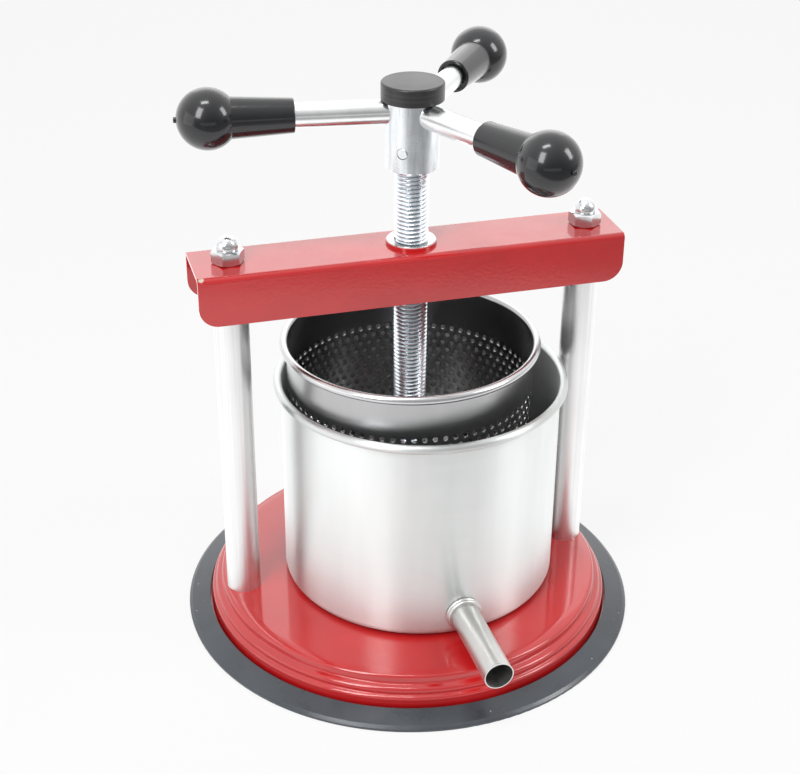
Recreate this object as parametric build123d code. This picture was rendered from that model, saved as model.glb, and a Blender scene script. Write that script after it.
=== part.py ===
from build123d import *
import os

# Small table-top fruit press. A screw in a crossbeam drives a plate down into a perforated basket, the juice
# runs into a pot round the basket and leaves by a spout. Millimetres and degrees, +Z up, beam along X, spout
# and front towards -Y. The origin is on the screw's axis, on the surface that the press stands on.

# Clearances
running_clearance = 0.05
seat_clearance = 0.05
standing_gap = 0.2
hole_clearance = 0.5

# Basket, which the rest is sized round
basket_radius = 75
basket_sheet = 1
basket_height = 161.2
basket_corner = 6
basket_curl_radius = 1.5

# Pot and spout
pot_room = 11
pot_offset_x = 6.7
pot_offset_y = -0.7
pot_sheet = 0.8
pot_height = 136.2
pot_corner = 5
pot_curl_radius = 1.8
curl_angle = 262
spout_azimuth = -88
spout_fall = 1.4
spout_sill = 1.9
spout_diameter = 17.8
spout_wall = 0.6
spout_length = 61
bead_radius = 1.15
bead_count = 2

# Pillars and the tie rods inside them
pillar_room = 22.5
pillar_length = 221.8
pillar_diameter = 21
pillar_wall = 2
tie_rod_diameter = 10
nut_across_flats = 17
nut_height = 8
nut_room = 2.5
nut_face_inset = 0.7
nut_chamfer_angle = 30
washer_thickness = 3
base_nut_turn = 30
rod_end_length = 2
rod_chamfer = 0.8
cap_nut_wall = 1.35
cap_nut_height = 16
cap_nut_turns = (2, 34)

# Pressed base, an upturned dish with two sloping ledges and a flange that the ring grips
base_height = 24.2
base_sheet = 1.5
floor_shoulder = 4.5
upper_step_drop = 6.1
upper_ledge = 4.2
upper_ledge_fall = 2.2
lower_step_drop = 2.8
lower_ledge = 2.3
lower_ledge_fall = 2.3
flange_width = 10.5
flange_height = 1.4
step_bend_radius = 0.5

# Rubber foot ring
ring_lip = 5
ring_inset = 5
ring_gap = 1.85
ring_edge_height = 1.6
ring_bevel_width = 2
ring_bevel_rise = 1.6
ring_cover = 3.7
ring_rounding = 0.5

# Crossbeam, a channel open downwards
beam_overhang = 19.3
beam_shift = -1.8
beam_width = 43
beam_depth = 29.8
beam_sheet = 2
beam_bend_radius = 3
beam_corner_radius = 11.5

# Screw bush between the beam's flanges
bush_side_gap = 4.5
bush_length = 30
bush_stand = 2.5
bush_chamfer = 0.8

# Press plate and its swivel
plate_stand = 45.6
plate_gap = 1.2
plate_thickness = 5
plate_rounding = 1.5
boss_diameter = 36
boss_height = 18
boss_chamfer = 1.5
thrust_thickness = 2
thrust_play = 0.6
groove_depth = 2.5
groove_play = 0.5
grub_diameter = 6
grub_count = 3
grub_tip_gap = 0.4
grub_inset = 1
grub_socket_across_flats = 3
grub_socket_depth = 2.5

# Spindle and handle
screw_diameter = 20
screw_chamfer = 1.5
spindle_length = 237.6
hub_diameter = 31
hub_chamfer = 0.8
hub_seat_depth = 22
hub_pin_diameter = 6.5
hub_pin_height = 12.5
hub_pin_azimuth = 232.3
arm_diameter = 14
arm_rise = 33.2
arm_seat_depth = 9
arm_chamfer = 0.8
left_arm_azimuth = 172.3
front_arm_azimuth = 294.6
back_arm_azimuth = 52.7
cap_wall = 2.5
cap_height = 10
cap_top_thickness = 2.5
cap_gap = 0.2
cap_rounding = 1.2

# Ball knobs on the arms, the front one pushed further on than the others
knob_reach = 114.5
front_knob_reach = 107.8
ball_diameter = 35
sleeve_length = 48
sleeve_wall = 2.8
sleeve_flare = 2.05
sleeve_root_offset = 12
knob_groove = 0.6
knob_bore_offset = 6
knob_mouth_gap = 1.3
knob_mouth_depth = 3
knob_edge_rounding = 0.8
nub_diameter = 3.4
nub_height = 1.3
nub_rounding = 0.6

# Radii and spacings that follow, from the basket outwards
pot_radius = basket_radius + pot_room
plate_radius = basket_radius - basket_sheet - plate_gap
pillar_spacing = 2 * (pot_radius + pillar_room)
floor_radius = pillar_spacing / 2 + nut_across_flats / 2 + nut_room + base_sheet
upper_step_radius = floor_radius + upper_ledge
lower_step_radius = upper_step_radius + lower_ledge
flange_radius = lower_step_radius + flange_width
ring_radius = flange_radius + ring_lip
beam_length = pillar_spacing + 2 * beam_overhang

# Heights that follow, from the foot upwards
flange_top = flange_height + base_sheet
upper_ledge_top = base_height - upper_step_drop
upper_ledge_foot = upper_ledge_top - upper_ledge_fall
lower_ledge_top = upper_ledge_foot - lower_step_drop
lower_ledge_foot = lower_ledge_top - lower_ledge_fall
base_underside = base_height - base_sheet
beam_underside = base_height + pillar_length
beam_top_height = beam_underside + beam_sheet
beam_bottom = beam_top_height - beam_depth
pot_bottom = base_height + standing_gap
basket_bottom = pot_bottom + pot_sheet + standing_gap
plate_height = basket_bottom + basket_sheet + plate_stand
plate_top = plate_height + plate_thickness
boss_top = plate_top + boss_height
thrust_top = plate_top + thrust_thickness
spindle_bottom = thrust_top + standing_gap
spindle_top = spindle_bottom + spindle_length
hub_bottom_height = spindle_top - hub_seat_depth
arm_height = hub_bottom_height + arm_rise
cap_bottom = arm_height + arm_diameter / 2 + cap_gap
cap_top = cap_bottom + cap_height
hub_top = cap_top - cap_top_thickness

UP = (Align.CENTER, Align.CENTER, Align.MIN)
plane_tolerance = 0.001


def spun(section):
    """Solid made by turning a section, drawn as radius and height, round the Z axis."""
    return revolve(Plane.XZ * section, axis=Axis.Z)


def drawn_in(points, inset):
    """Corners of the line beside the one through the points, at a distance to its right."""
    corners = [Vector(*point) for point in points]
    sides = [(end - start).normalized().rotate(Axis.Z, -90) for start, end in zip(corners, corners[1:])]
    shared = [(one + other) / (1 + one.dot(other)) for one, other in zip(sides, sides[1:])]
    shifts = [sides[0], *shared, sides[-1]]
    return [corner + shift * inset for corner, shift in zip(corners, shifts)]


def sheet_section(line_at, thickness):
    """Section of bent sheet, between a line and the same line drawn one thickness further in."""
    skin = line_at(0)
    lining = line_at(thickness)
    return make_face(skin.edges() + lining.edges() + [Line(skin @ 0, lining @ 0), Line(skin @ 1, lining @ 1)])


def upright(diameter, bottom, top):
    """Cylinder on the Z axis between two heights."""
    return Pos(0, 0, bottom) * Cylinder(diameter / 2, top - bottom, align=UP)


def outward(diameter, start, end):
    """Cylinder on the X axis between two distances from the origin."""
    return Pos(start, 0, 0) * Rot(0, 90, 0) * Cylinder(diameter / 2, end - start, align=UP)


def edges_at(solid, axis, position):
    """Edges that lie in the plane across the axis at the position."""
    return solid.edges().filter_by_position(axis, position - plane_tolerance, position + plane_tolerance)


def rolled_cup(radius, height, corner, sheet, curl_radius):
    """Drawn cup standing at height zero, its rim rolled outwards into a bead."""
    wall_top = height - curl_radius - sheet

    def cup_line(inset):
        wall_points = [(0, inset), (radius - inset, inset), (radius - inset, wall_top)]
        wall = FilletPolyline(*wall_points, radius=corner - inset)
        curl = JernArc(start=wall @ 1, tangent=wall % 1, radius=curl_radius + inset, arc_size=-curl_angle)
        return Wire(wall.edges() + curl.edges())

    return spun(sheet_section(cup_line, sheet))


def hexagon(turn):
    """Nut blank with its corners turned down to a cone at both ends, standing at height zero."""
    blank = extrude(RegularPolygon(nut_across_flats / 2, 6, major_radius=False, rotation=turn), nut_height)
    corner_radius = blank.bounding_box().diagonal
    slope = Cone(corner_radius, 0, corner_radius * tan_of(nut_chamfer_angle), align=UP)
    face_radius = nut_across_flats / 2 - nut_face_inset
    lift = nut_height - (corner_radius - face_radius) * tan_of(nut_chamfer_angle)
    top_cone = Pos(0, 0, lift) * slope
    return blank & top_cone & Pos(0, 0, nut_height) * Rot(180, 0, 0) * top_cone


def tan_of(angle):
    """Tangent of an angle in degrees."""
    return Vector(1, 0).rotate(Axis.Z, angle).Y / Vector(1, 0).rotate(Axis.Z, angle).X


def at_pillars(left, right):
    """One copy on each pillar's axis, as one piece list."""
    half = pillar_spacing / 2
    return Compound(children=[Pos(-half, 0, 0) * left, Pos(half, 0, 0) * right])


# Foot ring: a low ring with a sloping top, grooved inside for the base's flange
ring_bore_radius = lower_step_radius - ring_inset
ring_mouth_radius = lower_step_radius + ring_gap
ring_bevel_radius = ring_radius - ring_bevel_width
ring_section = make_face(Polyline(
    (ring_bore_radius, 0),
    (ring_radius, 0),
    (ring_radius, ring_edge_height),
    (ring_bevel_radius, ring_edge_height + ring_bevel_rise),
    (ring_mouth_radius, flange_top + ring_cover),
    (ring_mouth_radius, flange_top + seat_clearance),
    (flange_radius + seat_clearance, flange_top + seat_clearance),
    (flange_radius + seat_clearance, flange_height - seat_clearance),
    (ring_bore_radius, flange_height - seat_clearance),
    close=True,
))
outer_limit = ring_bevel_radius - plane_tolerance
outer_corners = [corner for corner in ring_section.vertices() if corner.X > outer_limit]
rubber_ring = spun(fillet(outer_corners, ring_rounding))

# Base: one line from the floor's middle to the flange's edge, with sheet laid under it
outer_bend = step_bend_radius + base_sheet


def base_line(inset):
    """Upper face of the base's sheet, or a line at a depth below it."""
    points = [
        (0, base_height),
        (floor_radius, base_height),
        (floor_radius, upper_ledge_top),
        (upper_step_radius, upper_ledge_foot),
        (upper_step_radius, lower_ledge_top),
        (lower_step_radius, lower_ledge_foot),
        (lower_step_radius, flange_top),
        (flange_radius, flange_top),
    ]
    edge_bend = outer_bend - inset
    foot_bend = step_bend_radius + inset
    bends = [floor_shoulder - inset, foot_bend, edge_bend, foot_bend, edge_bend, foot_bend]
    return FilletPolyline(*drawn_in(points, inset), radius=bends)


rod_hole = upright(tie_rod_diameter + hole_clearance, base_underside, beam_top_height)
base_plate = spun(sheet_section(base_line, base_sheet)) - at_pillars(rod_hole, rod_hole)

# Pillars, tie rods and their fasteners
pillar_bore = pillar_diameter - 2 * pillar_wall
pillar = upright(pillar_diameter, base_height, beam_underside)
pillar -= upright(pillar_bore, base_height, beam_underside)
rod_bottom = base_underside - washer_thickness - nut_height - rod_end_length
rod_top = beam_top_height + nut_height + rod_end_length
tie_rod = upright(tie_rod_diameter, rod_bottom, rod_top)
tie_rod = chamfer(edges_at(tie_rod, Axis.Z, rod_bottom) + edges_at(tie_rod, Axis.Z, rod_top), rod_chamfer)
fit_bore = tie_rod_diameter + 2 * seat_clearance
washer_bottom = base_underside - washer_thickness
washer_radius = floor_radius - floor_shoulder - pillar_spacing / 2
washer = upright(2 * washer_radius, washer_bottom, base_underside)
washer -= upright(fit_bore, washer_bottom, base_underside)
nut = Pos(0, 0, washer_bottom) * Rot(180, 0, 0) * (hexagon(base_nut_turn) - upright(fit_bore, 0, nut_height))


def cap_nut(turn):
    """Blind nut with a ball for a cap, standing on the beam."""
    dome_radius = fit_bore / 2 + cap_nut_wall
    dome = Pos(0, 0, cap_nut_height - dome_radius) * Sphere(dome_radius)
    bore = upright(fit_bore, 0, nut_height + rod_end_length + seat_clearance)
    return Pos(0, 0, beam_top_height) * (hexagon(turn) + dome - bore)


# Crossbeam: bent channel, its four lower corners rounded off
def channel_line(inset):
    """Outer face of the channel's sheet, or a line at a depth inside it."""
    side = beam_width / 2 - inset
    top = beam_top_height - inset
    points = [(-side, beam_bottom), (-side, top), (side, top), (side, beam_bottom)]
    return FilletPolyline(*points, radius=beam_bend_radius - inset)


channel = sheet_section(channel_line, beam_sheet)
crossbeam = Pos(beam_shift, 0, 0) * extrude(Plane.YZ * channel, beam_length / 2, both=True)
corner_edges = edges_at(crossbeam, Axis.Z, beam_bottom).filter_by(Axis.Y)
crossbeam = fillet(corner_edges, beam_corner_radius)
bush_diameter = beam_width - 2 * beam_sheet - 2 * bush_side_gap
bush_seat = upright(bush_diameter + 2 * seat_clearance, beam_bottom, beam_top_height)
crossbeam = crossbeam - at_pillars(rod_hole, rod_hole) - bush_seat

# Bush: a turned sleeve that stands a little above the beam
bush_top = beam_top_height + bush_stand
bush_bottom = bush_top - bush_length
screw_bush = upright(bush_diameter, bush_bottom, bush_top)
screw_bush = chamfer(edges_at(screw_bush, Axis.Z, bush_top), bush_chamfer)
screw_bush -= upright(screw_diameter + 2 * running_clearance, bush_bottom, bush_top)

# Handle hub with three radial seats, a blind seat for the spindle and a cross pin
arms = {
    "left": (left_arm_azimuth, knob_reach),
    "front": (front_arm_azimuth, front_knob_reach),
    "back": (back_arm_azimuth, knob_reach),
}
hub_radius = hub_diameter / 2
arm_start = hub_radius - arm_seat_depth
pin_place = Pos(0, 0, hub_bottom_height + hub_pin_height) * Rot(0, 0, hub_pin_azimuth)


def on_arm(azimuth, piece):
    """Piece drawn along X moved to an arm's place."""
    return Pos(0, 0, arm_height) * Rot(0, 0, azimuth) * piece


hub = upright(hub_diameter, hub_bottom_height, hub_top)
hub = chamfer(edges_at(hub, Axis.Z, hub_bottom_height), hub_chamfer)
hub -= upright(screw_diameter + 2 * seat_clearance, hub_bottom_height, spindle_top)
arm_seat = outward(arm_diameter + 2 * seat_clearance, arm_start, hub_diameter)
for azimuth, reach in arms.values():
    hub -= on_arm(azimuth, arm_seat)
hub -= pin_place * outward(hub_pin_diameter + 2 * seat_clearance, -hub_diameter, hub_diameter)

hub_pin = pin_place * outward(hub_pin_diameter, -hub_radius, hub_radius)
hub_pin = fillet(hub_pin.edges().filter_by(GeomType.CIRCLE), hub_chamfer)

hub_cap = upright(hub_diameter + 2 * (seat_clearance + cap_wall), cap_bottom, cap_top)
hub_cap = fillet(edges_at(hub_cap, Axis.Z, cap_top), cap_rounding)
hub_cap -= upright(hub_diameter + 2 * seat_clearance, cap_bottom, hub_top)



# Arms and knobs, drawn along X, a knob with its ball's centre at the origin
def arm_rod(reach):
    """Rod from its seat in the hub into a knob at the given reach."""
    rod = outward(arm_diameter, arm_start, reach - knob_bore_offset)
    return chamfer(rod.edges().filter_by(GeomType.CIRCLE), arm_chamfer)


mouth_radius = arm_diameter / 2 + sleeve_wall
root_radius = mouth_radius + sleeve_flare
sleeve_section = make_face(Polyline(
    (-sleeve_length, 0),
    (-sleeve_length, mouth_radius),
    (-sleeve_root_offset, root_radius),
    (0, root_radius),
    (0, 0),
    close=True,
))
sleeve = revolve(sleeve_section, axis=Axis.X)
sleeve = fillet(edges_at(sleeve, Axis.X, -sleeve_length), knob_edge_rounding)
root_groove = Torus(root_radius, knob_groove)
nub_end = ball_diameter / 2 + nub_height
nub = outward(nub_diameter, 0, nub_end)
nub = fillet(edges_at(nub, Axis.X, nub_end), nub_rounding)
knob = Sphere(ball_diameter / 2) + sleeve + nub
knob -= Pos(-sleeve_root_offset, 0, 0) * Rot(0, 90, 0) * root_groove
knob -= outward(arm_diameter + 2 * seat_clearance, -sleeve_length, -knob_bore_offset)
knob -= outward(arm_diameter + 2 * knob_mouth_gap, -sleeve_length, knob_mouth_depth - sleeve_length)

# Press plate: a flat disc with eased edges, and the swivel boss on it
press_plate = upright(2 * plate_radius, plate_height, plate_top)
plate_edges = edges_at(press_plate, Axis.Z, plate_height) + edges_at(press_plate, Axis.Z, plate_top)
press_plate = fillet(plate_edges, plate_rounding)

grub_height = plate_top + boss_height / 2
groove_radius = screw_diameter / 2 - groove_depth
boss_radius = boss_diameter / 2


def round_boss(piece):
    """Copies of a piece drawn along X, set round the boss at the height of its screws."""
    turns = [360 / grub_count * index for index in range(grub_count)]
    return Compound(children=[Pos(0, 0, grub_height) * Rot(0, 0, turn) * piece for turn in turns])


plate_boss = upright(boss_diameter, plate_top, boss_top)
plate_boss = chamfer(edges_at(plate_boss, Axis.Z, boss_top), boss_chamfer)
plate_boss -= upright(screw_diameter + 2 * running_clearance, plate_top, boss_top)
plate_boss -= round_boss(outward(grub_diameter + 2 * seat_clearance, groove_radius, boss_diameter))

grub_end = boss_radius - grub_inset
socket = extrude(RegularPolygon(grub_socket_across_flats / 2, 6, major_radius=False), grub_socket_depth)
grub = outward(grub_diameter, groove_radius + grub_tip_gap, grub_end)
grub -= Pos(grub_end - grub_socket_depth, 0, 0) * Rot(0, 90, 0) * socket
boss_grub_screws = round_boss(grub)

thrust_washer = upright(screw_diameter - thrust_play, plate_top, thrust_top)

# Spindle: from the thrust washer up into the hub, grooved for the grub screws
spindle = upright(screw_diameter, spindle_bottom, spindle_top)
spindle_ends = edges_at(spindle, Axis.Z, spindle_bottom) + edges_at(spindle, Axis.Z, spindle_top)
spindle = chamfer(spindle_ends, screw_chamfer)
groove_bottom = grub_height - grub_diameter / 2 - groove_play
groove_top = grub_height + grub_diameter / 2 + groove_play
groove = upright(2 * screw_diameter, groove_bottom, groove_top)
spindle -= groove - upright(2 * groove_radius, groove_bottom, groove_top)
spindle -= pin_place * outward(hub_pin_diameter + 2 * seat_clearance, -hub_diameter, hub_diameter)

# Pot: drawn cup with a rolled rim, and the spout let into its wall
pot_place = Pos(pot_offset_x, pot_offset_y, pot_bottom)
spout_height = pot_corner + spout_diameter / 2 + spout_sill
spout_place = Rot(0, 0, spout_azimuth) * Pos(pot_radius, 0, spout_height) * Rot(0, spout_fall, 0)
bore_diameter = spout_diameter - 2 * spout_wall
pot_inside = upright(2 * (pot_radius - pot_sheet), 0, pot_height)
pot_outside = upright(2 * (pot_radius + seat_clearance), 0, pot_height)
cup = rolled_cup(pot_radius, pot_height, pot_corner, pot_sheet, pot_curl_radius)
pot_hole = outward(spout_diameter + 2 * seat_clearance, -spout_diameter, spout_length)
pot = pot_place * (cup - spout_place * pot_hole)

tube = spout_place * outward(spout_diameter, -spout_diameter, spout_length) - pot_inside
collar_radius = spout_diameter / 2 + bead_radius
bead_width = 2 * bead_radius
collar = outward(2 * collar_radius, -spout_diameter, bead_width * bead_count)
for index in range(bead_count):
    bead = Rot(0, 90, 0) * Torus(collar_radius, bead_radius)
    collar += Pos(bead_width * index + bead_radius, 0, 0) * bead
spout = tube + (spout_place * collar - pot_outside)
spout -= spout_place * outward(bore_diameter, -spout_diameter, spout_length)
spout = pot_place * spout

# Basket, standing on the pot's floor on the screw's axis
basket = rolled_cup(basket_radius, basket_height, basket_corner, basket_sheet, basket_curl_radius)
basket = Pos(0, 0, basket_bottom) * basket

pieces = {
    "rubber_ring": rubber_ring,
    "base_plate": base_plate,
    "left_pillar": Pos(-pillar_spacing / 2, 0, 0) * pillar,
    "right_pillar": Pos(pillar_spacing / 2, 0, 0) * pillar,
    "left_tie_rod": Pos(-pillar_spacing / 2, 0, 0) * tie_rod,
    "right_tie_rod": Pos(pillar_spacing / 2, 0, 0) * tie_rod,
    "base_washers": at_pillars(washer, washer),
    "base_nuts": at_pillars(nut, nut),
    "cap_nuts": at_pillars(*[cap_nut(turn) for turn in cap_nut_turns]),
    "crossbeam": crossbeam,
    "screw_bush": screw_bush,
    "spindle": spindle,
    "hub": hub,
    "hub_pin": hub_pin,
    "hub_cap": hub_cap,
    "press_plate": press_plate,
    "plate_boss": plate_boss,
    "boss_grub_screws": boss_grub_screws,
    "thrust_washer": thrust_washer,
    "pot": pot,
    "spout": spout,
    "basket": basket,
}
for name, (azimuth, reach) in arms.items():
    pieces[name + "_arm"] = on_arm(azimuth, arm_rod(reach))
    pieces[name + "_knob"] = on_arm(azimuth, Pos(reach, 0, 0) * knob)

os.makedirs("parts", exist_ok=True)
for name, piece in pieces.items():
    export_step(piece, "parts/" + name + ".step")
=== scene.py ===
import math
from collections import namedtuple

import bpy
import numpy as np
from mathutils import Matrix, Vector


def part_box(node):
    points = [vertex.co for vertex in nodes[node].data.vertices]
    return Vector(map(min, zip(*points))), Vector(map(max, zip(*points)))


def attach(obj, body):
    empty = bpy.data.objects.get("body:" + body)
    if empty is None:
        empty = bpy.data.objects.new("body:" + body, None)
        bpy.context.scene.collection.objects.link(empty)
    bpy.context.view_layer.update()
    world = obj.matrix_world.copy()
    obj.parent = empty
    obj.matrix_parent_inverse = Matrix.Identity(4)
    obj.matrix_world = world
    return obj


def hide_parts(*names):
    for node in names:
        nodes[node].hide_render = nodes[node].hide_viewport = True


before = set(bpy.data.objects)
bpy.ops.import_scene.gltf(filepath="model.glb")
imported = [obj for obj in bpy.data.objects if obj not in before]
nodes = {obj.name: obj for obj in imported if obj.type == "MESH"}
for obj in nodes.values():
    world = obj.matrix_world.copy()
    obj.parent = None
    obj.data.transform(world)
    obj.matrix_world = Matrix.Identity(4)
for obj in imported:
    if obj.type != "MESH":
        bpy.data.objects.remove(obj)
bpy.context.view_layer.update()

MM = 0.001
MICRON = 0.000001
TURN = 2 * math.pi
NOISE_ROUGHNESS = 0.55
CREASE = math.radians(35.0)


# Finishes. Each is a node tree on Object coordinates, so a pattern stays put on its piece.

class Shading:
    """A node tree, with short calls that add nodes to it and link them."""

    def __init__(self, tree):
        self.tree = tree

    def node(self, kind, **settings):
        made = self.tree.nodes.new(kind)
        for key, value in settings.items():
            setattr(made, key, value)
        return made

    def feed(self, source, target):
        """Link an output, or set a plain value."""
        if isinstance(source, bpy.types.NodeSocket):
            self.tree.links.new(source, target)
        else:
            target.default_value = source

    def range(self, value, low, high, out_low=0.0, out_high=1.0):
        """Number that runs from out_low to out_high while the value runs from low to high."""
        made = self.node("ShaderNodeMapRange")
        self.feed(value, made.inputs["Value"])
        self.feed(low, made.inputs["From Min"])
        self.feed(high, made.inputs["From Max"])
        self.feed(out_low, made.inputs["To Min"])
        self.feed(out_high, made.inputs["To Max"])
        return made.outputs["Result"]

    def math(self, operation, a, b=0.0):
        made = self.node("ShaderNodeMath", operation=operation)
        self.feed(a, made.inputs[0])
        self.feed(b, made.inputs[1])
        return made.outputs[0]

    def vector(self, operation, a, b=(0.0, 0.0, 0.0)):
        """Number that comes of one or two vectors."""
        made = self.node("ShaderNodeVectorMath", operation=operation)
        self.feed(a, made.inputs[0])
        self.feed(b, made.inputs[1])
        return made.outputs["Value"]


class Finish(Shading):
    """A material under construction: a Principled shader, and calls for the patterns that feed it."""

    mix_low, mix_high, mix_result = 6, 7, 2  # places of a Mix node's colour sockets

    def __init__(self, name, **sockets):
        self.material = bpy.data.materials.new(name)
        self.material.use_nodes = True
        super().__init__(self.material.node_tree)
        self.shader = self.tree.nodes["Principled BSDF"]
        for socket, value in sockets.items():
            self.set(socket.replace("_", " "), value)
        self.place = self.node("ShaderNodeTexCoord").outputs["Object"]

    def set(self, socket, source):
        self.feed(source, self.shader.inputs[socket])

    def stretched(self, scale, shift=(0.0, 0.0, 0.0)):
        """Object coordinates scaled along their axes and moved."""
        mapping = self.node("ShaderNodeMapping")
        self.feed(scale, mapping.inputs["Scale"])
        self.feed(shift, mapping.inputs["Location"])
        self.feed(self.place, mapping.inputs["Vector"])
        return mapping.outputs["Vector"]

    def noise(self, scale, detail=3.0, place=None):
        made = self.node("ShaderNodeTexNoise")
        self.feed(place or self.place, made.inputs["Vector"])
        self.feed(scale, made.inputs["Scale"])
        self.feed(detail, made.inputs["Detail"])
        self.feed(NOISE_ROUGHNESS, made.inputs["Roughness"])
        return made.outputs["Fac"]

    def streaks(self, stretch, detail=3.0):
        """Noise drawn out into streaks, which are longest along the axis with the smallest number."""
        return self.noise(1.0, detail, self.stretched(stretch))

    def cells(self, scale):
        """Distance to the nearest of many scattered points, for specks."""
        made = self.node("ShaderNodeTexVoronoi")
        self.feed(self.place, made.inputs["Vector"])
        self.feed(scale, made.inputs["Scale"])
        return made.outputs["Distance"]

    def mix(self, amount, low, high):
        """Blend of two colours, each a plain one or an output."""
        made = self.node("ShaderNodeMix", data_type="RGBA")
        self.feed(amount, made.inputs["Factor"])
        for colour, number in ((low, self.mix_low), (high, self.mix_high)):
            plain = not isinstance(colour, bpy.types.NodeSocket)
            self.feed((*colour, 1.0) if plain else colour, made.inputs[number])
        return made.outputs[self.mix_result]

    def axis(self, name):
        made = self.node("ShaderNodeSeparateXYZ")
        self.feed(self.place, made.inputs[0])
        return made.outputs[name]

    def radius(self, centre=(0.0, 0.0)):
        """Distance from an upright line through the centre."""
        across = self.math("SUBTRACT", self.axis("X"), centre[0])
        along = self.math("SUBTRACT", self.axis("Y"), centre[1])
        squares = self.math("ADD", self.math("POWER", across, 2.0), self.math("POWER", along, 2.0))
        return self.math("SQRT", squares)

    def bump(self, height, depth, under=None):
        """Relief of the given depth in metres, laid over another relief if one is given."""
        made = self.node("ShaderNodeBump")
        self.feed(depth, made.inputs["Distance"])
        self.feed(height, made.inputs["Height"])
        if under is not None:
            self.feed(under, made.inputs["Normal"])
        self.set("Normal", made.outputs["Normal"])
        return made.outputs["Normal"]


def scaled(colour, factor):
    """Each part of a colour or a place times a factor."""
    return tuple(factor * part for part in colour)


def red_enamel(name, peel, peel_scale, light=1.0, bare=None, under=None, under_rough=None,
               under_metal=False):
    """Stoved enamel: deep red under a clear gloss, with orange peel and a little unevenness in the colour.

    The light factor makes the red brighter, as painted light on a lit copy of the same paint. Where the
    bare mask is 1 the paint is gone and what is under it shows.
    """
    deep_red, lively_red = (light * 0.47, 0.0095, 0.0115), (light * 0.54, 0.0125, 0.0145)
    f = Finish(name, Specular_IOR_Level=0.1, Coat_Weight=1.0, Coat_Roughness=0.06, Coat_IOR=1.6)
    cloud = f.range(f.noise(scale=14.0, detail=4.0), 0.35, 0.7)
    colour = f.mix(cloud, deep_red, lively_red)
    rough = f.range(f.noise(scale=60.0), 0.3, 0.7, out_low=0.3, out_high=0.42)
    if bare is not None:
        shows = bare(f)
        colour = f.mix(shows, colour, under)
        rough = f.range(shows, 0.0, 1.0, rough, under_rough)
        if under_metal:
            f.set("Metallic", shows)
    f.set("Base Color", colour)
    f.set("Roughness", rough)
    waves = f.bump(f.noise(peel_scale, detail=2.0), peel)
    f.set("Coat Normal", f.bump(f.noise(scale=2400.0, detail=1.0), 4 * MICRON, under=waves))
    return f.material


def above_level(level, blur):
    """Mask that is 1 above a height, with a blurred edge."""
    return lambda f: f.range(f.axis("Z"), level - blur, level)


def chip_at(place, size):
    """Mask that is 1 within about the given distance of a place, with a ragged edge."""
    def mask(f):
        away = f.vector("LENGTH", f.stretched((1.0, 1.0, 1.0), shift=scaled(place, -1.0)))
        ragged = f.range(f.noise(scale=1400.0), 0.3, 0.7, out_low=0.6, out_high=1.5)
        return f.range(f.math("MULTIPLY", ragged, away), size, 0.8 * size)
    return mask


def foot_rubber():
    """Moulded rubber: dark grey, matt, with a fine grain, pale dust, white specks and a lighter outer top
    edge, which is a painted highlight.

    The painted highlight is full from edge_full outwards and from heel_full upwards.
    """
    clean, dusty = (0.029, 0.036, 0.045), (0.048, 0.057, 0.070)
    # The edge colour is a painted highlight along the outer top edge; white is for the dust specks.
    edge_highlight, white = (0.075, 0.08, 0.087), (0.55, 0.55, 0.55)
    edge_start, edge_full = 140.8 * MM, 142.5 * MM
    heel_start, heel_full = 2.2 * MM, 3.4 * MM
    f = Finish("foot_rubber_grain", Specular_IOR_Level=0.6)
    dust = f.range(f.noise(scale=35.0, detail=5.0), 0.4, 0.75)
    # Painted highlight: the outer top edge is drawn lighter.
    outer = f.range(f.radius(), edge_start, edge_full)
    raised = f.range(f.axis("Z"), heel_start, heel_full)
    body = f.mix(f.math("MULTIPLY", outer, raised), f.mix(dust, clean, dusty), edge_highlight)
    specks = f.range(f.cells(scale=95.0), 0.03, 0.045)
    f.set("Base Color", f.mix(specks, white, body))
    f.set("Roughness", f.range(dust, 0.0, 1.0, out_low=0.26, out_high=0.42))
    grain = f.bump(f.noise(scale=900.0, detail=2.0), 30 * MICRON)
    f.bump(f.noise(scale=90.0), 100 * MICRON, under=grain)
    return f.material


def bright_steel(name, colour, rough, stretch):
    """Bright rod or tube: fine drawn lines along it and a few dull patches."""
    f = Finish(name, Metallic=1.0)
    lines = f.streaks(stretch)
    haze = f.noise(scale=22.0, detail=4.0)
    f.set("Base Color", f.mix(f.range(lines, 0.3, 0.75), scaled(colour, 0.86), colour))
    f.set("Roughness", f.range(haze, 0.3, 0.75, rough, rough + 0.09))
    f.bump(lines, 6 * MICRON)
    return f.material


def satin_steel(name, colour, rough, brushed, vary=0.12, grain=8 * MICRON, patches=()):
    """Polished-down sheet: fine level lines round the piece and soft upright clouds from the drawing.

    Each patch is a mask and how many times as bright the steel is where the mask is 1. It is painted
    light: darker for painted shade, brighter for a painted highlight.
    """
    f = Finish(name, Metallic=1.0, Anisotropic=brushed, Anisotropic_Rotation=0.25)
    lines = f.streaks((40.0, 40.0, 2600.0), detail=4.0)
    clouds = f.streaks((26.0, 26.0, 5.0))
    sheet = f.mix(f.range(clouds, 0.3, 0.72), scaled(colour, 0.86), colour)
    # Painted light: each patch draws the steel darker as painted shade or brighter as a painted highlight.
    for mask, light in patches:
        sheet = f.mix(mask(f), sheet, scaled(colour, light))
    f.set("Base Color", sheet)
    f.set("Roughness", f.range(lines, 0.25, 0.8, rough, rough + vary))
    f.bump(lines, grain)
    return f.material


def painted_wall_shading(radius, inside, rim, centre=(0.0, 0.0)):
    """Patches of painted light for a round wall: the brightness of its inner side, and of the rim outside
    it.
    Below 1 they are painted shade, above 1 a painted highlight.
    """
    blur = 0.4 * MM

    def painted_inner_side(f):
        return f.range(f.radius(centre), radius - blur, radius - 2 * blur)

    def painted_outer_rim(f):
        return f.range(f.radius(centre), radius + 0.5 * blur, radius + 1.5 * blur)

    return (painted_inner_side, inside), (painted_outer_rim, rim)


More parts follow.
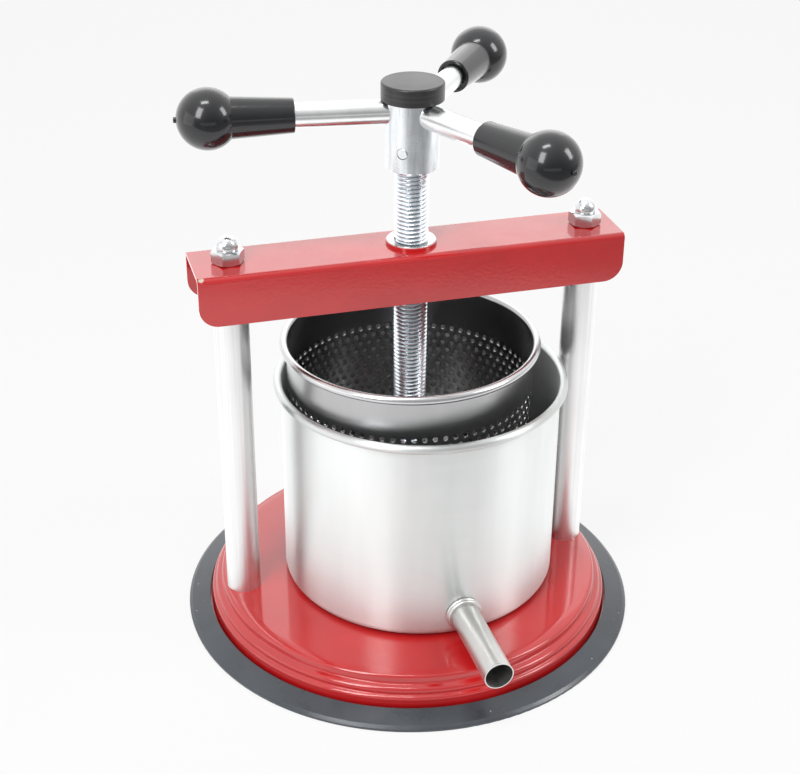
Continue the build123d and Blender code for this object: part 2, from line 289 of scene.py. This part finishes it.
def zinc(name, stretch, dark, pale, rough, root_shade=None):
    """Bright zinc plating: bluish, with turning streaks, cloudy patches and small dark specks.

    A pair of radii, if given, darkens a thread from its crest down to its root: painted shade in its
    hollows.
    """
    # Colour of the painted shade in a thread's roots.
    root = (0.30, 0.325, 0.35)
    f = Finish(name, Metallic=1.0)
    lines = f.streaks(stretch, detail=4.0)
    clouds = f.noise(scale=70.0, detail=4.0)
    specks = f.range(f.cells(scale=420.0), 0.05, 0.16)
    plating = f.mix(f.range(lines, 0.3, 0.72), dark, pale)
    plating = f.mix(specks, scaled(dark, 0.8), plating)
    # Painted shade: a thread darkens from its crest down to its root.
    if root_shade is not None:
        plating = f.mix(f.range(f.radius(), *root_shade), root, plating)
    f.set("Base Color", plating)
    f.set("Roughness", f.range(clouds, 0.3, 0.7, rough, rough + 0.14))
    f.bump(lines, 10 * MICRON)
    return f.material


def turned_bronze():
    """Turned bronze: brown-gold, with fine level rings and dark spots of age."""
    aged, clean = (0.50, 0.33, 0.15), (0.66, 0.47, 0.23)
    f = Finish("turned_bronze", Metallic=1.0)
    rings = f.streaks((60.0, 60.0, 4000.0))
    spots = f.range(f.noise(scale=160.0, detail=4.0), 0.35, 0.7)
    f.set("Base Color", f.mix(spots, aged, clean))
    f.set("Roughness", f.range(rings, 0.25, 0.8, out_low=0.26, out_high=0.42))
    f.bump(rings, 8 * MICRON)
    return f.material


def moulded_plastic(name, colour, rough, shine=0.5, gloss=0.0, lines=()):
    """Black moulded plastic: faint swirls, handling haze and a soft moulded skin, with level mould lines.

    The gloss is a polished skin over the hazy body.
    """
    line_colour = (0.028, 0.028, 0.03)
    line_edge, line_core = 0.6 * MM, 0.3 * MM
    f = Finish(name, Specular_IOR_Level=shine, Coat_Weight=gloss, Coat_Roughness=0.15)
    haze = f.range(f.noise(scale=45.0, detail=4.0), 0.35, 0.75)
    body = f.mix(haze, colour, scaled(colour, 1.8))
    for level in lines:
        away = f.math("ABSOLUTE", f.math("SUBTRACT", f.axis("Z"), level))
        body = f.mix(f.range(away, line_edge, line_core), body, line_colour)
    f.set("Base Color", body)
    f.set("Roughness", f.range(haze, 0.0, 1.0, rough, rough + 0.1))
    skin = f.bump(f.noise(scale=260.0, detail=2.0), 10 * MICRON)
    f.set("Coat Normal", f.bump(f.noise(scale=30.0, detail=2.0), 30 * MICRON, under=skin))
    return f.material


def dress(finish_material, *names):
    """Put a finish on every slot of the named nodes."""
    for name in names:
        for material_slot in nodes[name].material_slots:
            material_slot.material = finish_material


# New pieces, worked out as whole arrays.

# A wall's punched holes: height of the top row, distance between rows, how many rows and holes in a row, a
# hole's radius, how far its outer edge is dented in, and how far its inner edge stands out.
Holes = namedtuple("Holes", "first_row row_gap rows columns radius dent burr")


def strip_quads(rows, columns, closed):
    """Corner numbers of a grid's quads, row after row; a closed grid joins its last column to its first."""
    row = np.arange(rows - 1)[:, None]
    column = np.arange(columns if closed else columns - 1)[None, :]
    ahead = (column + 1) % columns
    low, high = row * columns, (row + 1) * columns
    return np.stack([low + column, low + ahead, high + ahead, high + column], -1).reshape(-1, 4)


def fan(centre, loop):
    """Triangles from a centre to each step of a loop, as quads whose last corner repeats the first."""
    hub = np.full(len(loop), centre)
    return np.stack([hub, loop, np.roll(loop, -1), hub], -1)


def make_mesh(name, points, quads):
    """Mesh of the quads.

    Points that agree to a tenth of a micron become one. A corner that repeats the one before it is dropped,
    and so is a face with fewer than three corners left.
    """
    decimals = 7
    places, same = np.unique(np.round(points, decimals), axis=0, return_inverse=True)
    corners = same.reshape(-1)[quads]
    kept = corners != np.roll(corners, 1, axis=1)
    whole = kept.sum(1) >= 3
    corners, kept = corners[whole], kept[whole]
    start = np.concatenate([[0], np.cumsum(kept.sum(1))[:-1]])
    mesh = bpy.data.meshes.new(name)
    mesh.vertices.add(len(places))
    mesh.vertices.foreach_set("co", places.astype(np.float32).ravel())
    mesh.loops.add(int(kept.sum()))
    mesh.loops.foreach_set("vertex_index", corners[kept].astype(np.int32))
    mesh.polygons.add(len(corners))
    mesh.polygons.foreach_set("loop_start", start.astype(np.int32))
    mesh.polygons.foreach_set("use_smooth", np.ones(len(corners), dtype=bool))
    mesh.update(calc_edges=True)
    mesh.validate()
    return mesh


def make_piece(name, points, quads, material, body, stands_for):
    """Object at the origin with one finish, riding on a body in place of a node.

    Edges that turn by more than the crease angle stay sharp.
    """
    mesh = make_mesh(name, points, quads)
    mesh.set_sharp_from_angle(angle=CREASE)
    mesh.materials.append(material)
    piece = bpy.data.objects.new(name, mesh)
    bpy.context.scene.collection.objects.link(piece)
    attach(piece, body)
    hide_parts(stands_for)


def threaded_rod(radius, pitch, bottom, top):
    """Right-hand screw: one pitch of the thread's outline, carried round the axis, climbs one pitch a turn.

    The outline is a list of places, as shares of the pitch, with the rise from root to crest at each.
    Point (row, step) has the radius of its row's rise. Its height is pitch times its row's place, counted
    on from one outline to the next, plus pitch * step / steps. The last step of a row meets the first
    step one pitch further up. A point past either end moves to that end, at the radius that the outline
    has where the end cuts it, and a fan closes each end.
    """
    steps = 40
    turns_below, turns_above = 2, 1
    depth = 0.6134 * pitch  # depth of a metric thread
    place = np.array([0.0, 0.06, 0.19, 0.25, 0.53, 0.575, 0.675, 0.72])
    rise = np.array([0.06, 0.0, 0.0, 0.06, 0.93, 1.0, 1.0, 0.93])
    per_turn = len(place)
    turns = math.ceil((top - bottom) / pitch) + turns_below + turns_above
    count = turns * per_turn
    row = np.arange(count)[:, None]
    step = np.arange(steps)[None, :]
    climb = row // per_turn + place[row % per_turn] + step / steps
    height = bottom - turns_below * pitch + pitch * climb
    angle = np.broadcast_to(TURN * step / steps, height.shape)
    cut_bottom = np.interp(-step / steps, place, rise, period=1.0)
    cut_top = np.interp((top - bottom) / pitch - step / steps, place, rise, period=1.0)
    share = np.where(height > top, cut_top, rise[row % per_turn])
    share = np.where(height < bottom, cut_bottom, share)
    out = radius - depth + depth * share
    height = np.clip(height, bottom, top)
    points = np.stack([out * np.cos(angle), out * np.sin(angle), height], -1).reshape(-1, 3)

    sides = strip_quads(count, steps, closed=False)
    seam_row = np.arange(count - 1 - per_turn)
    last = seam_row * steps + steps - 1
    first = (seam_row + per_turn) * steps
    seam = np.stack([last, first, first + steps, last + steps], -1)

    end = count - 1
    bottom_loop = np.concatenate([np.arange(steps), np.arange(per_turn, 0, -1) * steps])
    top_loop = np.concatenate([end * steps + np.arange(steps),
                               (end - np.arange(1, per_turn + 1)) * steps + steps - 1])
    centres = np.array([[0, 0, bottom], [0, 0, top]])
    number = len(points)
    quads = np.concatenate([sides, seam, fan(number, bottom_loop[::-1]), fan(number + 1, top_loop)])
    return np.concatenate([points, centres]), quads


def turned(profile, segments):
    """Outline of (radius, height) points carried round the upright axis; points on the axis make one pole.

    It runs against the clock, with the radius to the right, so that the faces point outwards.
    """
    angle = TURN * np.arange(segments) / segments
    radius, height = profile[:, :1], profile[:, 1:]
    points = np.stack([radius * np.cos(angle), radius * np.sin(angle), height + 0 * angle], -1)
    return points.reshape(-1, 3), strip_quads(len(profile), segments, closed=True)


def arc(centre, radius, start, end, count):
    """Points on an arc, angles in degrees."""
    angle = np.radians(np.linspace(start, end, count))
    return np.stack([centre[0] + radius * np.cos(angle), centre[1] + radius * np.sin(angle)], -1)


def rounded_line(corners, radii, steps):
    """Line from the first corner to the last, with an arc in place of each corner between them.

    An arc's middle lies on the line that halves its corner's angle, its radius divided by the sine of half
    that angle away, and the arc runs from where it touches the side before to where it touches the side
    after.
    """
    corners, radii = np.array(corners), np.array(radii)[:, None]
    corner = corners[1:-1]
    back, ahead = corners[:-2] - corner, corners[2:] - corner
    back = back / np.linalg.norm(back, axis=1, keepdims=True)
    ahead = ahead / np.linalg.norm(ahead, axis=1, keepdims=True)
    half = np.arccos((back * ahead).sum(1, keepdims=True)) / 2
    inwards = (back + ahead) / np.linalg.norm(back + ahead, axis=1, keepdims=True)
    middle = corner + inwards * radii / np.sin(half)
    first = corner + back * radii / np.tan(half) - middle
    last = corner + ahead * radii / np.tan(half) - middle
    start = np.arctan2(first[:, 1], first[:, 0])[:, None]
    sweep = np.arctan2(last[:, 1], last[:, 0])[:, None] - start
    sweep = (sweep + math.pi) % TURN - math.pi
    angle = start + sweep * np.linspace(0.0, 1.0, steps)[None, :]
    arcs = middle[:, None] + radii[:, :, None] * np.stack([np.cos(angle), np.sin(angle)], -1)
    return np.concatenate([corners[:1], arcs.reshape(-1, 2), corners[-1:]])


def sheet_outline(line, sheet):
    """Outline of a sheet: out along its lower side and back along its upper side.

    The line is the upper side, and the lower side is the line moved square to itself by the thickness.
    """
    along = np.gradient(line, axis=0)
    along = along / np.linalg.norm(along, axis=1, keepdims=True)
    below = line + sheet * np.stack([along[:, 1], -along[:, 0]], -1)
    return np.concatenate([below, line[::-1]])


def perforated_wall(outer, inner, holes):
    """Sheet ring with staggered punched holes, made of equal cells in brick order.

    Each cell is a patch round one hole. Its rings have the same number of points in the same order, so
    quads between one ring and the next fill the patch: the cell's edge outside, a lip round the hole, the
    hole's rim dented in, the rim inside standing out by the burr, and the cell's edge inside. Every other
    row is shifted by half a cell, which the places of the edge points allow.
    """
    edge = np.array([(1, 0), (1, 1), (.5, 1), (0, 1), (-.5, 1), (-1, 1),
                     (-1, 0), (-1, -1), (-.5, -1), (0, -1), (.5, -1), (1, -1)])
    ring_points = len(edge)
    around = np.radians(360.0 / ring_points * np.arange(ring_points))
    half_angle = TURN / holes.columns / 2
    half_height = holes.row_gap / 2
    lip = 1.35 * holes.radius
    cell_row = np.arange(holes.rows)[:, None, None]
    cell_column = np.arange(holes.columns)[None, :, None]
    middle = 2 * half_angle * (cell_column + 0.5 * (cell_row % 2))
    level = holes.first_row - holes.row_gap * cell_row

    def ring(radius, across, up):
        angle = middle + across
        return np.stack([radius * np.cos(angle), radius * np.sin(angle), level + up + 0 * middle], -1)

    def circle(radius, size):
        return ring(radius, size / outer * np.cos(around), size * np.sin(around))

    def border(radius):
        return ring(radius, half_angle * edge[:, 0], half_height * edge[:, 1])

    rings = [border(outer), circle(outer, lip), circle(outer - holes.dent, holes.radius),
             circle(inner - holes.burr, holes.radius), border(inner)]
    points = np.stack(rings, 2).reshape(-1, 3)
    cell = strip_quads(len(rings), ring_points, closed=True)
    first = ring_points * len(rings) * np.arange(holes.rows * holes.columns)[:, None, None]
    return points, (cell[None] + first).reshape(-1, 4)


def basket_shell(low, height, radius, sheet, corner, curl, holes):
    """Perforated basket: the perforated ring, with turned sheet above it (band and rim) and below it.

    The rim is rolled outwards: an arc of the sheet from rim_start to rim_end. Below the ring the wall
    goes on to a rounded corner and a flat floor.
    """
    rim_start, rim_end = 180.0, -82.0
    segments = 4 * holes.columns
    wall_top = holes.first_row + holes.row_gap / 2
    wall_foot = holes.first_row - holes.row_gap * (holes.rows - 0.5)
    inner = radius - sheet
    floor = low + sheet
    rim_turn = low + height - curl - sheet
    rim_middle = (radius + curl, rim_turn)
    above = np.concatenate([
        [(radius, wall_top), (radius, rim_turn)],
        arc(rim_middle, curl, rim_start, rim_end, count=11)[1:],
        arc(rim_middle, curl + sheet, rim_end, rim_start, count=15),
        [(inner, wall_top)],
    ])
    below = np.concatenate([
        [(inner, wall_foot)],
        arc((inner - corner + sheet, floor + corner - sheet), corner - sheet, 0.0, -90.0, count=6),
        [(0.0, floor), (0.0, low)],
        arc((radius - corner, low + corner), corner, -90.0, 0.0, count=7),
        [(radius, wall_foot)],
    ])
    parts = [perforated_wall(radius, inner, holes), turned(above, segments), turned(below, segments)]
    shift = np.cumsum([0] + [len(points) for points, _ in parts[:-1]])
    quads = np.concatenate([part_quads + start for (_, part_quads), start in zip(parts, shift)])
    return np.concatenate([points for points, _ in parts]), quads


# The object

beam_low, beam_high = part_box("crossbeam")
_, bush_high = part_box("screw_bush")
cap_low, cap_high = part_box("hub_cap")
pot_low, pot_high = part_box("pot")
spindle_low, spindle_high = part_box("spindle")
base_low, base_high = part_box("base_plate")
basket_low, basket_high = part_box("basket")

pot_radius = 86 * MM
pot_middle = ((pot_low.x + pot_high.x) / 2, (pot_low.y + pot_high.y) / 2)
basket_radius = 75 * MM
thread_pitch = 2.5 * MM
# Radii over which the painted shade in the thread's roots fades in.
thread_root_shade = (8.47 * MM, 8.95 * MM)
chip_size = 1.7 * MM
beam_chip = (beam_low.x + 2.2 * MM, beam_low.y + 1.3 * MM, beam_high.z - 0.5 * MM)
bush_wear = 0.3 * MM
cap_lines = [cap_low.z + share * (cap_high.z - cap_low.z) for share in (0.34, 0.62)]

primer, worn_steel = (0.62, 0.56, 0.44), (0.46, 0.475, 0.47)
# The base's sheet is the beam's paint drawn brighter by the light factor: painted light.
red_sheet = red_enamel("red_enamel_sheet", peel=20 * MICRON, peel_scale=240.0, light=1.08)
red_beam = red_enamel("red_enamel_beam", peel=35 * MICRON, peel_scale=760.0,
                      bare=chip_at(beam_chip, chip_size), under=primer, under_rough=0.5)
red_bush = red_enamel("red_enamel_bush", peel=30 * MICRON, peel_scale=420.0,
                      bare=above_level(bush_high.z - bush_wear, bush_wear),
                      under=worn_steel, under_rough=0.2, under_metal=True)
satin_tube = bright_steel("satin_tube", (0.80, 0.80, 0.80), rough=0.36, stretch=(900.0, 900.0, 6.0))
polished_nut = bright_steel("polished_nut", (0.68, 0.69, 0.70), rough=0.17,
                            stretch=(300.0, 300.0, 40.0))
polished_arm = bright_steel("polished_arm", (0.81, 0.815, 0.82), rough=0.2,
                            stretch=(60.0, 60.0, 60.0))
# The pot's inner side and its rim are drawn darker: painted shade.
pot_steel = satin_steel("pot_steel", (0.75, 0.767, 0.76), rough=0.35, brushed=0.86,
                        patches=painted_wall_shading(pot_radius, inside=0.75, rim=0.76, centre=pot_middle))
# The basket's inner side is drawn darker, painted shade, and its rim brighter, a painted highlight.
basket_steel = satin_steel("basket_steel", (0.40, 0.40, 0.405), rough=0.22, brushed=0.3, vary=0.03,
                           grain=1 * MICRON, patches=painted_wall_shading(basket_radius, inside=0.8, rim=1.3))
spout_steel = satin_steel("spout_steel", (0.60, 0.595, 0.58), rough=0.33, brushed=0.3)
turned_zinc = zinc("turned_zinc", stretch=(260.0, 260.0, 30.0), dark=(0.54, 0.565, 0.59),
                   pale=(0.80, 0.82, 0.84), rough=0.18)
thread_zinc = zinc("thread_zinc", stretch=(120.0, 120.0, 300.0), dark=(0.70, 0.745, 0.79),
                   pale=(0.87, 0.92, 0.97), rough=0.2, root_shade=thread_root_shade)
knob_black = moulded_plastic("knob_black", (0.0035, 0.0038, 0.0052), rough=0.4, shine=0.1, gloss=1.0)
cap_black = moulded_plastic("cap_black", (0.012, 0.012, 0.013), rough=0.3, lines=cap_lines)

dress(red_sheet, "base_plate")
dress(red_beam, "crossbeam")
dress(red_bush, "screw_bush")
dress(foot_rubber(), "rubber_ring")
dress(satin_tube, "left_pillar", "right_pillar")
dress(polished_nut, "cap_nuts", "base_nuts", "base_washers", "left_tie_rod", "right_tie_rod")
dress(polished_arm, "left_arm", "front_arm", "back_arm")
dress(pot_steel, "pot")
dress(spout_steel, "spout", "press_plate")
dress(turned_zinc, "hub", "hub_pin", "plate_boss", "boss_grub_screws")
dress(turned_bronze(), "thrust_washer")
dress(knob_black, "left_knob", "front_knob", "back_knob")
dress(cap_black, "hub_cap")

rod_points, rod_quads = threaded_rod(spindle_high.x, thread_pitch, spindle_low.z, spindle_high.z)
make_piece("spindle_thread", rod_points, rod_quads, thread_zinc, "screw", "spindle")

# The base's upper side, from the middle outwards. A bend is its distance out from the wall under the rim,
# its distance down from the top, and its radius.
base_sheet = 1.5 * MM
base_wall = base_high.x - 17 * MM
base_segments = 256
soft_shoulder = (-4.5 * MM, 0.0, 25 * MM)
rim_edge = (0.0, 1.1 * MM, 2 * MM)
rim_foot = (0.0, 6.1 * MM, 1 * MM)
ledge_edge = (4.2 * MM, 7.4 * MM, 2.4 * MM)
ledge_foot = (4.2 * MM, 11.1 * MM, 0.8 * MM)
step_edge = (6.5 * MM, 12.0 * MM, 1.8 * MM)
step_foot = (6.5 * MM, base_high.z - base_low.z - base_sheet, 1 * MM)
base_bends = [soft_shoulder, rim_edge, rim_foot, ledge_edge, ledge_foot, step_edge, step_foot]
base_line = rounded_line(
    [(0.0, base_high.z),
     *[(base_wall + out, base_high.z - down) for out, down, _ in base_bends],
     (base_high.x, base_low.z + base_sheet)],
    [bend for _, _, bend in base_bends], steps=11)
base_points, base_quads = turned(sheet_outline(base_line, base_sheet), base_segments)
make_piece("pressed_base", base_points, base_quads, red_sheet, "frame", "base_plate")

basket_holes = Holes(first_row=157 * MM, row_gap=5.5 * MM, rows=23, columns=76, radius=1.65 * MM,
                     dent=0.3 * MM, burr=0.08 * MM)
basket_points, basket_quads = basket_shell(
    low=basket_low.z, height=basket_high.z - basket_low.z, radius=basket_radius, sheet=1 * MM,
    corner=6 * MM, curl=1.5 * MM, holes=basket_holes)
make_piece("perforated_basket", basket_points, basket_quads, basket_steel, "basket", "basket")


# Floor, light and camera

def white_ground(shading, lit, plain, toned, share):
    """Shader that is lit for the light it gives, and shows a plain white, in part or whole, to the eye.

    Reflections see it at the toned strength instead, so that bright metal gets a light and a dark side.
    """
    path = shading.node("ShaderNodeLightPath")
    seen = path.outputs["Is Camera Ray"]
    shading.feed(shading.range(seen, 0.0, 1.0, toned, 1.0), plain.inputs["Strength"])
    for name in ("Is Glossy Ray", "Is Transmission Ray"):
        seen = shading.math("MAXIMUM", seen, path.outputs[name])
    blend = shading.node("ShaderNodeMixShader")
    shading.feed(shading.math("MULTIPLY", seen, share), blend.inputs[0])
    shading.feed(lit, blend.inputs[1])
    shading.feed(plain.outputs[0], blend.inputs[2])
    return blend.outputs[0]


def pale_floor():
    """Large disc just under the ring: rings of points at even distances, white, with the object's shadow.

    In reflections it is a bright sheet that ends about half a metre in front of the object.
    """
    rings, spokes, reach, drop = 12, 96, 4.0, 0.2 * MM
    backwards = (-0.21, 0.978, 0.0)
    front_start, front_full = -0.535, -0.5
    radius = reach * np.linspace(0.0, 1.0, rings)[:, None]
    angle = TURN * np.arange(spokes)[None, :] / spokes
    level = np.full((rings, spokes), -drop)
    points = np.stack([radius * np.cos(angle), radius * np.sin(angle), level], -1)
    mesh = make_mesh("floor", points.reshape(-1, 3), strip_quads(rings, spokes, closed=True)[:, ::-1])
    floor = bpy.data.objects.new("floor", mesh)
    bpy.context.scene.collection.objects.link(floor)
    f = Finish("pale_floor", Base_Color=(0.76, 0.76, 0.76, 1.0), Roughness=0.6)
    distance = f.vector("DOT_PRODUCT", f.place, backwards)
    toned = f.range(distance, front_start, front_full, out_low=0.4, out_high=1.5)
    surface = white_ground(f, f.shader.outputs[0], f.node("ShaderNodeEmission"), toned, share=0.85)
    f.feed(surface, f.tree.nodes["Material Output"].inputs["Surface"])
    mesh.materials.append(f.material)


def studio_world():
    """White room: an even pale light, and white where the eye looks past the floor.

    In reflections it is toned down towards the front and below.
    """
    white = (1.0, 1.0, 1.0, 1.0)
    up_and_back = (0.0, 0.8, 0.6)
    world = bpy.data.worlds.new("studio")
    world.use_nodes = True
    room = Shading(world.node_tree)
    fill = room.tree.nodes["Background"]
    room.feed(white, fill.inputs["Color"])
    room.feed(0.3, fill.inputs["Strength"])
    plain = room.node("ShaderNodeBackground")
    room.feed(white, plain.inputs["Color"])
    facing = room.node("ShaderNodeTexCoord").outputs["Generated"]
    towards = room.vector("DOT_PRODUCT", facing, up_and_back)
    toned = room.range(towards, -0.7, 0.7, out_low=0.34, out_high=1.5)
    surface = white_ground(room, fill.outputs[0], plain, toned, share=1.0)
    room.feed(surface, room.tree.nodes["World Output"].inputs["Surface"])
    bpy.context.scene.world = world


def softbox(name, place, target, size, glow, roll=0.0):
    """Oblong soft lamp at a place, facing a target; its power is pi times its area times its brightness.

    The roll turns it round its own middle, in degrees.
    """
    lamp = bpy.data.lights.new(name, "AREA")
    lamp.shape = "RECTANGLE"
    lamp.size, lamp.size_y = size
    lamp.energy = math.pi * size[0] * size[1] * glow
    holder = bpy.data.objects.new(name, lamp)
    bpy.context.scene.collection.objects.link(holder)
    facing = np.subtract(place, target)
    facing = facing / np.linalg.norm(facing)
    side = np.cross((0.0, 0.0, 1.0), facing)
    side = side / np.linalg.norm(side)
    turn = np.stack([side, np.cross(facing, side), facing], -1)
    rolled = Matrix.Rotation(math.radians(roll), 4, "Z")
    holder.matrix_world = Matrix.Translation(place) @ Matrix(turn.tolist()).to_4x4() @ rolled


def photo_camera():
    """Camera at the photograph's place, from sizes read in the picture."""
    place = (-0.23821, -0.80821, 0.61569)
    right = (0.9621, -0.2726, 0.0064)
    up = (0.1263, 0.4663, 0.8756)
    back = (-0.2416, -0.8416, 0.4831)
    camera = bpy.data.cameras.new("photo_camera")
    camera.sensor_width = 36.0
    camera.lens = 70.36
    holder = bpy.data.objects.new("photo_camera", camera)
    bpy.context.scene.collection.objects.link(holder)
    turn = Matrix((right, up, back)).transposed().to_4x4()
    holder.matrix_world = Matrix.Translation(place) @ turn
    bpy.context.scene.camera = holder


pale_floor()
studio_world()
pot_rim, basket_rim = (0.0, 0.0, 0.15), (0.0, 0.0, 0.2)
softbox("lamp_left", (-0.86, -0.76, 1.15), pot_rim, size=(0.45, 0.85), glow=9.5)
softbox("lamp_top", (-0.26, -0.2, 1.59), pot_rim, size=(0.5, 0.2), glow=15.0, roll=45.0)
softbox("lamp_right", (1.14, -0.56, 1.04), pot_rim, size=(0.4, 0.7), glow=9.0)
softbox("lamp_side", (-2.0, -0.3, 0.5), basket_rim, size=(1.6, 1.2), glow=1.0)
softbox("lamp_back", (0.45, 1.6, 1.05), pot_rim, size=(1.8, 0.9), glow=0.7)
softbox("lamp_front", (-0.3, -2.0, 0.3), basket_rim, size=(2.2, 0.3), glow=0.7)
photo_camera()
bpy.context.scene.view_settings.view_transform = "Standard"
